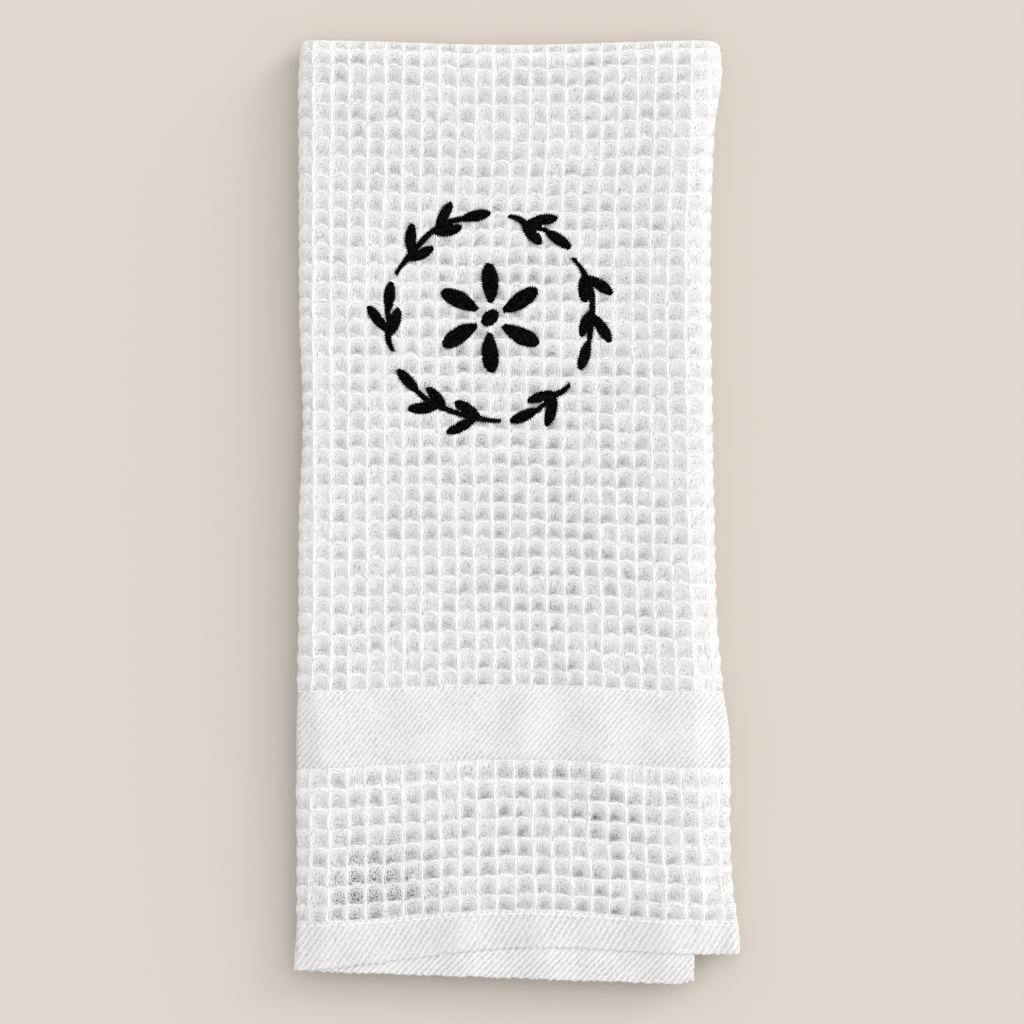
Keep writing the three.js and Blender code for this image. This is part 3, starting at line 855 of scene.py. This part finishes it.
def lay_hem(name, half, rib_points, seed):
    """A hem from its stitching line down its right side, round its edge and back up its wrong side."""
    rng = np.random.default_rng(seed)
    line_left, line_right = [float(edge) for edge in free_edges(run_at(half, HEM_LINE_DOWN))]
    width = line_right - line_left
    inner = np.linspace(0, 1, HEM_STEPS + 1)
    turns = np.linspace(0, np.pi, HEM_EDGE_STEPS + 1)[1:-1]
    share_down = np.concatenate([HEM_HEAD_STEPS, inner[1:], 1 + 0 * turns, inner[::-1]])
    on_front = np.zeros(len(HEM_HEAD_STEPS) + HEM_STEPS)
    turned = np.concatenate([on_front, turns, np.full(HEM_STEPS + 1, np.pi)])
    from_left, share_down = np.meshgrid(np.arange(0, width, HEM_RIB_PITCH / rib_points), share_down)
    turned = turned[:, None] + 0 * from_left
    upright = line_left + from_left
    full_depth = np.abs(line_run(half, "hem_edge", upright) - line_run(half, "hem_line", upright)) - HEM_LIFT
    on_back = np.where(turned > 3, 1 - share_down, 0)
    face_slip = (share_down + on_back) * full_depth + turned * HEM_LIFT
    slip = face_slip / math.tan(HEM_SLANT) + on_back * full_depth / math.tan(HEM_BACK_SLANT)
    ends = np.minimum(from_left, width - from_left)
    moved = from_left - slip * smooth(ends / HEM_SLANT_END)
    rib = (moved + slip) / HEM_RIB_PITCH
    about = run_at(half, HEM_DOWN) + 0 * moved
    left_edge, right_edge = free_edges(about)
    across = left_edge + moved * (right_edge - left_edge) / width
    top = line_run(half, "hem_line", across)
    ragged_places = np.arange(-0.3, 0.3, HEM_RAGGED_PITCH)
    ragged = np.interp(across, ragged_places, rng.uniform(-1, 1, len(ragged_places))) * HEM_RAGGED
    drawn_in = HEM_CORNER * smooth(1 - ends / HEM_CORNER_LENGTH)
    edge = line_run(half, "hem_edge", across) + half * (ragged - drawn_in)
    depth = np.abs(edge - top) - HEM_LIFT
    for _ in range(2):
        left_edge, right_edge = free_edges(top + half * share_down * depth)
        across = left_edge + moved * (right_edge - left_edge) / width
    grown = smooth(share_down * depth / HEM_RISE)
    thick = np.where(turned < 0.1, BAND_LIFT + (HEM_LIFT - BAND_LIFT) * grown, HEM_LIFT)
    thick = thick * np.sqrt(np.clip(ends / HEM_END, 0.04, 1)) * (1 - HEM_TAPER * smooth(3 * share_down - 2))
    ribbed = rib_height(rib) * grown
    lift = (thick + ribbed) * np.cos(turned)
    run = top + half * (share_down * depth + (HEM_LIFT + ribbed) * np.sin(turned))
    points = lay_cloth(across, run, lift)
    weave = np.stack([rib, (share_down + 2 * on_back) * depth / WEFT_PITCH], axis=-1)
    piece = make_mesh(name, points, grid_faces(*rib.shape), twill_material, weave=weave)
    return piece


front_hem = lay_hem("front_hem", 1, 6, 21)
back_hem = lay_hem("back_hem", -1, 4, 22)


# Each hem is sewn with a row of white lockstitch just below its line. Every stitch pulls the thread
# down into the cloth at both ends, so the row is a string of small beads, right round the flaps.
STITCH_LENGTH = 0.0030
STITCH_WIDE = 0.00030
STITCH_BELOW = 0.0013
STITCH_SLOPE = 0.06
SEAM_INSET = 0.003
STITCH_RINGS = 7
STITCH_SIDES = 6


def sewing_cotton():
    """White polished cotton sewing thread."""
    material, surface = new_material("sewing_cotton", (0.88, 0.87, 0.86), 0.7)
    twist = speckle(material, 3000.0)
    raise_bump(material, surface, twist, 0.00012)
    return material


def sew_hem(name, half, seed):
    """A row of stitches across the whole cloth, each a bead that is thickest in its middle."""
    rng = np.random.default_rng(seed)
    left_edge, right_edge = [float(edge) for edge in free_edges(run_at(half, HEM_LINE_DOWN))]
    count = int((right_edge - left_edge - 2 * SEAM_INSET) / STITCH_LENGTH)
    share = np.linspace(0.04, 0.96, STITCH_RINGS)[:, None]
    turn = 2 * np.pi * np.arange(STITCH_SIDES) / STITCH_SIDES
    start = left_edge + SEAM_INSET + STITCH_LENGTH * np.arange(count)
    slope = vary(rng, count, 0, STITCH_SLOPE)
    across = start[:, None, None] + STITCH_LENGTH * share + 0 * turn
    rounding = np.sin(np.pi * share)
    thick = STITCH_WIDE * np.sqrt(rounding)
    lean = slope[:, None, None] * STITCH_LENGTH * (share - 0.5)
    below = STITCH_BELOW + lean + thick * np.cos(turn)
    lift = HEM_LIFT + RIB_LIFT * 0.6 - STITCH_WIDE * (1 - rounding) + thick * np.sin(turn)
    run = line_run(half, "hem_line", across) + half * below
    points = lay_cloth(across, run, lift + 0 * across)
    bead = np.arange(STITCH_RINGS - 1)[:, None] * STITCH_SIDES
    corner = np.arange(STITCH_SIDES)
    following = np.roll(corner, -1)
    sides = np.stack([bead + corner, bead + following, bead + following + STITCH_SIDES,
                      bead + corner + STITCH_SIDES], axis=-1).reshape(-1, 4)
    ends = np.array([[0, 5, 4, 1], [1, 4, 3, 2]])
    quads = np.concatenate([sides, ends, ends[:, ::-1] + (STITCH_RINGS - 1) * STITCH_SIDES])
    first = np.arange(count)[:, None, None] * STITCH_RINGS * STITCH_SIDES
    piece = make_mesh(name, points, (first + quads).reshape(-1, 4), sewing_material)
    return piece


sewing_material = sewing_cotton()
front_seam = sew_hem("front_seam", 1, 61)
back_seam = sew_hem("back_seam", -1, 62)


# The embroidery is satin stitch in black rayon thread: a ring of leafy sprigs, and a six-petalled
# flower at its centre. Each leaf, petal and stem is a padded column of threads laid side by side.
THREAD_PITCH = 0.00046
THREAD_STAGGER = 0.00066
THREAD_RAGGED = 0.00022
THREAD_BASE = 0.00064
THREAD_GROOVE = 0.00012
THREAD_SLANT = math.tan(math.radians(18))
RING_RADIUS = 0.0385
MOTIF_DIP = 0.00097
COLUMN_POINTS = 8
LEAF_HEIGHT = 0.00036
LEAF_LENGTH = 0.0112
LEAF_LENGTH_SPREAD = 0.0006
LEAF_WIDTH = 0.0039
LEAF_WIDTH_SPREAD = 0.0003
LEAF_OFF_STEM = 0.0004
LEAF_DEGREES = 35
LEAF_DEGREES_SPREAD = 5
TIP_LENGTH = 0.0115
TIP_WIDTH = 0.0040
TIP_ON_RING = 0.93
STEM_HEIGHT = 0.00028
STEM_SWAY = 0.0006
STEM_START = 0.00055
STEM_SWELL = 0.0005
PETALS = 6
PETAL_START = 0.0056
PETAL_LENGTH = 0.0150
PETAL_WIDTH = 0.0062


def shade_between(material, share, low_color, high_color):
    node = add_node(material, "ShaderNodeMix", {"data_type": "RGBA"}, _0=share)
    node.inputs[6].default_value = (*low_color, 1)
    node.inputs[7].default_value = (*high_color, 1)
    return node.outputs[2]


def embroidery_thread():
    """Black rayon thread, with painted sheen on its twisted strands and the soft gleam that its roughness
    gives.
    """
    material, surface = new_material("black_rayon", (0.003, 0.003, 0.003), 0.6)
    surface.inputs["Specular IOR Level"].default_value = 0.012
    strands = speckle(material, 1700.0)
    # Painted sheen: a lighter base colour in speckles along the strands.
    painted_sheen = maths(material, "POWER", ramp(material, strands, 0.35, 0.78), 2.0)
    color = shade_between(material, painted_sheen, (0.0, 0.0, 0.0), (0.017, 0.017, 0.018))
    material.node_tree.links.new(color, surface.inputs["Base Color"])
    material.node_tree.links.new(ramp(material, strands, 0.3, 0.7, 0.75, 0.4), surface.inputs["Roughness"])
    raise_bump(material, surface, strands, 0.00015)
    return material


def satin_column(rng, middle, heading, half_width, height):
    """A padded column of threads laid across its middle line: rings of points, a crest and a groove
    for each thread. Both ends of a thread stop a little short or long."""
    rings = len(middle)
    angle = np.pi * np.arange(COLUMN_POINTS) / (COLUMN_POINTS - 1)
    sideways = np.append(np.cos(angle), [-0.6, 0.6])
    upward = np.append(np.sin(angle), [-0.3, -0.3])
    thread = np.arange(rings) // 2
    crest = np.arange(rings) % 2
    reach = half_width[:, None] * sideways
    for end, side in ((0, 1), (COLUMN_POINTS - 1, -1)):
        longer = THREAD_STAGGER * ((thread + end) % 2) + vary(rng, rings, 0, THREAD_RAGGED)
        reach[:, end] += side * (longer * crest + THREAD_STAGGER / 4 * (1 - crest))
    along = reach * THREAD_SLANT
    lift = THREAD_BASE + height[:, None] * upward - THREAD_GROOVE * (1 - crest)[:, None] * (upward > 0)
    forward = np.stack([np.cos(heading), np.sin(heading)], axis=-1)[:, None, :]
    leftward = np.stack([-np.sin(heading), np.cos(heading)], axis=-1)[:, None, :]
    flat = middle[:, None, :] + leftward * reach[..., None] + forward * along[..., None]
    run = run_at(1, FOLD_Y - MOTIF_CENTRE[1] - flat[..., 1] - MOTIF_DIP)
    return lay_cloth(MOTIF_CENTRE[0] + flat[..., 0], run, lift).reshape(-1, 3)


def column_faces(rings, start):
    """Quads round a column and over its two ends."""
    around = COLUMN_POINTS + 2
    ring = np.arange(around)
    first = start + np.arange(rings - 1)[:, None] * around + ring
    second = start + np.arange(rings - 1)[:, None] * around + np.roll(ring, -1)
    sides = np.stack([first, second, second + around, first + around], axis=-1).reshape(-1, 4)
    low = np.arange(around // 2 - 1)
    cap = np.stack([low, around - 1 - low, around - 2 - low, low + 1], axis=-1)
    last = start + (rings - 1) * around
    return np.concatenate([sides, start + cap, last + cap[:, ::-1]])


def stitch(name, rng, columns):
    """One piece of embroidery made of satin columns, each with its middle, heading, width and height."""
    points = []
    quads = []
    start = 0
    for column in columns:
        points.append(satin_column(rng, *column))
        quads.append(column_faces(len(column[0]), start))
        start += len(points[-1])
    piece = make_mesh(name, np.concatenate(points), np.concatenate(quads), thread_material)
    return piece


def leaf(base, heading, length, width, bend=0.0, fullest=1.15):
    """A leaf's column, from its base along its heading, which turns by bend up to its tip."""
    rings = 2 * round(length / THREAD_PITCH) + 1
    share = np.linspace(0, 1, rings)
    headings = heading + bend * share
    step = length / (rings - 1)
    steps = np.stack([np.cos(headings), np.sin(headings)], axis=-1) * step
    middle = base + np.cumsum(steps, axis=0) - steps[0]
    round_share = 0.03 + 0.95 * share**fullest
    half_width = width / 2 * (1 - (2 * round_share - 1) ** 2) ** 0.65
    return middle, headings, half_width, LEAF_HEIGHT * (half_width / half_width.max()) ** 0.5


def sprig(name, seed, root, sweep, pairs):
    """A stem that runs clockwise along the ring from its root, with pairs of leaves and one at its tip."""
    rng = np.random.default_rng(seed)
    stem_sweep = sweep - TIP_LENGTH * TIP_ON_RING / RING_RADIUS
    rings = 2 * round(stem_sweep * RING_RADIUS / THREAD_PITCH) + 1
    share = np.linspace(0, 1, rings)
    angle = root - stem_sweep * share
    sway = STEM_SWAY * np.sin(2 * np.pi * (share + rng.uniform(0, 1)))
    stem = (RING_RADIUS + sway)[:, None] * np.stack([np.cos(angle), np.sin(angle)], axis=-1)
    heading = angle - np.pi / 2
    half_width = STEM_START + STEM_SWELL * smooth(share * 3) * (1 - 0.3 * share)
    columns = [(stem, heading, half_width, STEM_HEIGHT + 0 * share)]
    columns.append(leaf(stem[-3], heading[-1], TIP_LENGTH, TIP_WIDTH, bend=-TIP_LENGTH / RING_RADIUS * 0.6))
    for place in pairs:
        for side in (1, -1):
            at = round((place + 0.05 * side * rng.uniform(0.2, 1)) * (rings - 1))
            degrees = LEAF_DEGREES + rng.uniform(-LEAF_DEGREES_SPREAD, LEAF_DEGREES_SPREAD)
            spread = side * math.radians(degrees)
            length = (LEAF_LENGTH + LEAF_LENGTH_SPREAD * rng.uniform(-1, 1)) * (1.05 if side > 0 else 0.95)
            width = LEAF_WIDTH + LEAF_WIDTH_SPREAD * rng.uniform(-1, 1)
            onward = heading[at] + spread
            base = stem[at] + LEAF_OFF_STEM * np.array([math.cos(onward), math.sin(onward)])
            columns.append(leaf(base, onward, length, width, bend=-0.35 * spread))
    return stitch(name, rng, columns)


def centre_flower():
    """Six petals round a small solid centre."""
    rng = np.random.default_rng(57)
    columns = []
    for petal in range(PETALS):
        angle = math.radians(90 + 360 / PETALS * petal)
        base = PETAL_START * np.array([math.cos(angle), math.sin(angle)])
        columns.append(leaf(base, angle, PETAL_LENGTH, PETAL_WIDTH, fullest=1.3))
    columns.append(leaf(np.array([-PETAL_WIDTH / 2, 0.0]), 0.0, PETAL_WIDTH, PETAL_WIDTH, fullest=1.0))
    return stitch("centre_flower", rng, columns)


thread_material = embroidery_thread()
sprigs = []
for third in range(3):
    for degrees, sweep, pairs in ((36, 66, (0.24, 0.66)), (80, 39, (0.42,))):
        root = math.radians(degrees + 120 * third)
        number = len(sprigs)
        sprigs.append(sprig(f"sprig_{number + 1}", 31 + number, root, math.radians(sweep), pairs))
flower = centre_flower()


# The towel lies on a plain pale surface, under a broad soft light from the upper right, and is seen
# from straight above.
FLOOR_HALF = 3.0
VIEW_ACROSS = -0.0017
VIEW_WIDTH = 0.384
VIEW_LEVEL = 0.009
CAMERA_LENS = 300
CAMERA_SENSOR = 36


def pale_surface():
    mesh = bpy.data.meshes.new("floor")
    corners = [(FLOOR_HALF * x, FLOOR_HALF * y, 0) for x, y in ((-1, -1), (1, -1), (1, 1), (-1, 1))]
    mesh.from_pydata(corners, [], [(0, 1, 2, 3)])
    material, _ = new_material("pale_surface", (0.635, 0.574, 0.519), 0.8)
    mesh.materials.append(material)
    floor = bpy.data.objects.new("floor", mesh)
    bpy.context.scene.collection.objects.link(floor)


def soft_light(name, azimuth, elevation, spread, strength):
    """A broad distant light, from an azimuth and an elevation in degrees."""
    light = bpy.data.lights.new(name, "SUN")
    light.angle = math.radians(spread)
    light.energy = strength
    lamp = bpy.data.objects.new(name, light)
    lamp.rotation_euler = (0, math.radians(90 - elevation), math.radians(azimuth))
    bpy.context.scene.collection.objects.link(lamp)


pale_surface()
soft_light("high_light", azimuth=35, elevation=60, spread=60, strength=0.55)
soft_light("low_light", azimuth=35, elevation=18, spread=30, strength=1.35)
studio = bpy.data.worlds.new("studio")
studio.use_nodes = True
sky = studio.node_tree.nodes["Background"]
sky.inputs["Color"].default_value = (1.0, 1.0, 1.0, 1)
sky.inputs["Strength"].default_value = 0.89
bpy.context.scene.world = studio
bpy.context.scene.view_settings.view_transform = "Standard"

camera_data = bpy.data.cameras.new("camera")
camera_data.lens = CAMERA_LENS
camera_data.sensor_width = CAMERA_SENSOR
camera = bpy.data.objects.new("camera", camera_data)
camera.location = (VIEW_ACROSS, 0, VIEW_LEVEL + VIEW_WIDTH * CAMERA_LENS / CAMERA_SENSOR)
bpy.context.scene.collection.objects.link(camera)
bpy.context.scene.camera = camera
